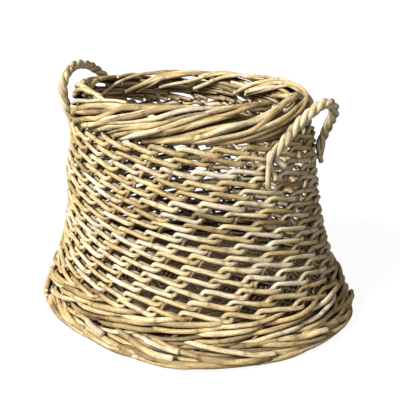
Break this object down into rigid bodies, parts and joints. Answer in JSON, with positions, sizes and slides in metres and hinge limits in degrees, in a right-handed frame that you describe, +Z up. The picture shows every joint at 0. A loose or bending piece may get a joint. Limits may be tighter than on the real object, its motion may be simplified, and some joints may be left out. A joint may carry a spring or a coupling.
{
  "type": "wicker log basket",
  "caption": "Oval bell-shaped basket of open twined wicker, with a rolled rim, a heavy border at the foot, a woven base and twisted rope handles at the ends of the oval.",
  "frame": {"origin": "middle of the underside, in the plane that the foot border rests on", "axes": "+Z up, +X along the long axis of the oval, towards the handle that leans outward; the other handle is at -X"},
  "size_m": [0.5694, 0.4668, 0.3942],
  "materials": {
    "weave": "satin peeled cane, straw coloured",
    "stakes": "satin peeled cane, a little browner",
    "foot": "satin peeled cane, straw coloured",
    "base": "matte peeled cane",
    "handles": "satin peeled cane, pale greyish straw"
  },
  "bodies": {
    "root": {"weaver_row_01": "weave", "weaver_row_02": "weave", "weaver_row_03": "weave", "weaver_row_04": "weave", "weaver_row_05": "weave", "weaver_row_06": "weave", "weaver_row_07": "weave", "weaver_row_08": "weave", "weaver_row_09": "weave", "weaver_row_10": "weave", "weaver_row_11": "weave", "weaver_row_12": "weave", "weaver_row_13": "weave", "weaver_row_14": "weave", "weaver_row_15": "weave", "weaver_row_16": "weave", "stake_01": "stakes", "stake_02": "stakes", "stake_03": "stakes", "stake_04": "stakes", "stake_05": "stakes", "stake_06": "stakes", "stake_07": "stakes", "stake_08": "stakes", "stake_09": "stakes", "stake_10": "stakes", "stake_11": "stakes", "stake_12": "stakes", "stake_13": "stakes", "stake_14": "stakes", "stake_15": "stakes", "stake_16": "stakes", "stake_17": "stakes", "stake_18": "stakes", "stake_19": "stakes", "stake_20": "stakes", "stake_21": "stakes", "stake_22": "stakes", "stake_23": "stakes", "stake_24": "stakes", "stake_25": "stakes", "foot_wale_1": "foot", "foot_wale_2": "foot", "foot_wale_3": "foot", "foot_wale_4": "foot", "foot_border": "foot", "base_mat": "base", "base_stick_long_1": "base", "base_stick_long_2": "base", "base_stick_long_3": "base", "base_stick_short_1": "base", "base_stick_short_2": "base", "base_stick_short_3": "base", "left_handle_strand_1": "handles", "left_handle_strand_2": "handles", "left_handle_strand_3": "handles", "right_handle_strand_1": "handles", "right_handle_strand_2": "handles", "right_handle_strand_3": "handles"}
  },
  "joints": []
}
